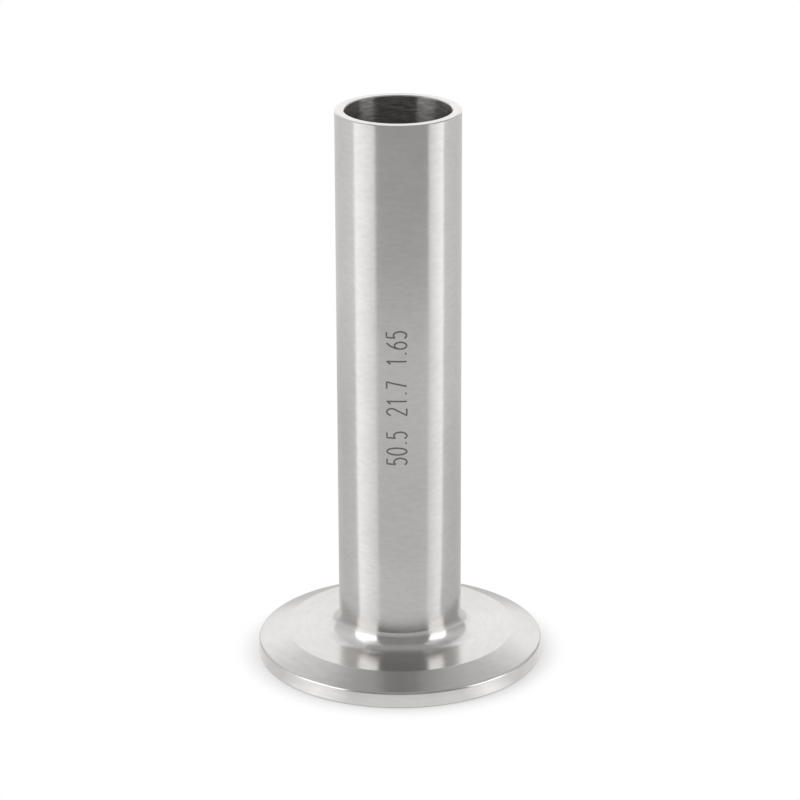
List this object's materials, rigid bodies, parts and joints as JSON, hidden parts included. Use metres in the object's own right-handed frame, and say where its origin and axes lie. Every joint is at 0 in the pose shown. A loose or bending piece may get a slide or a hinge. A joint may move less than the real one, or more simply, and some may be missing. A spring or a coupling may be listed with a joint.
{
  "type": "sanitary clamp ferrule",
  "caption": "Stainless clamp ferrule: a long tube stub for welding to a pipe, with a bevelled clamp flange that seals on a gasket.",
  "frame": {"origin": "centre of the sealing face, on the axis of the bore", "axes": "+Z along the bore from the sealing face to the weld end; round about Z, so X and Y are free"},
  "size_m": [0.0505, 0.0504, 0.1],
  "materials": {
    "stainless_steel": "turned and polished 304 stainless steel, fine marks running round the axis"
  },
  "bodies": {
    "root": {"ferrule": "stainless_steel"}
  },
  "joints": []
}
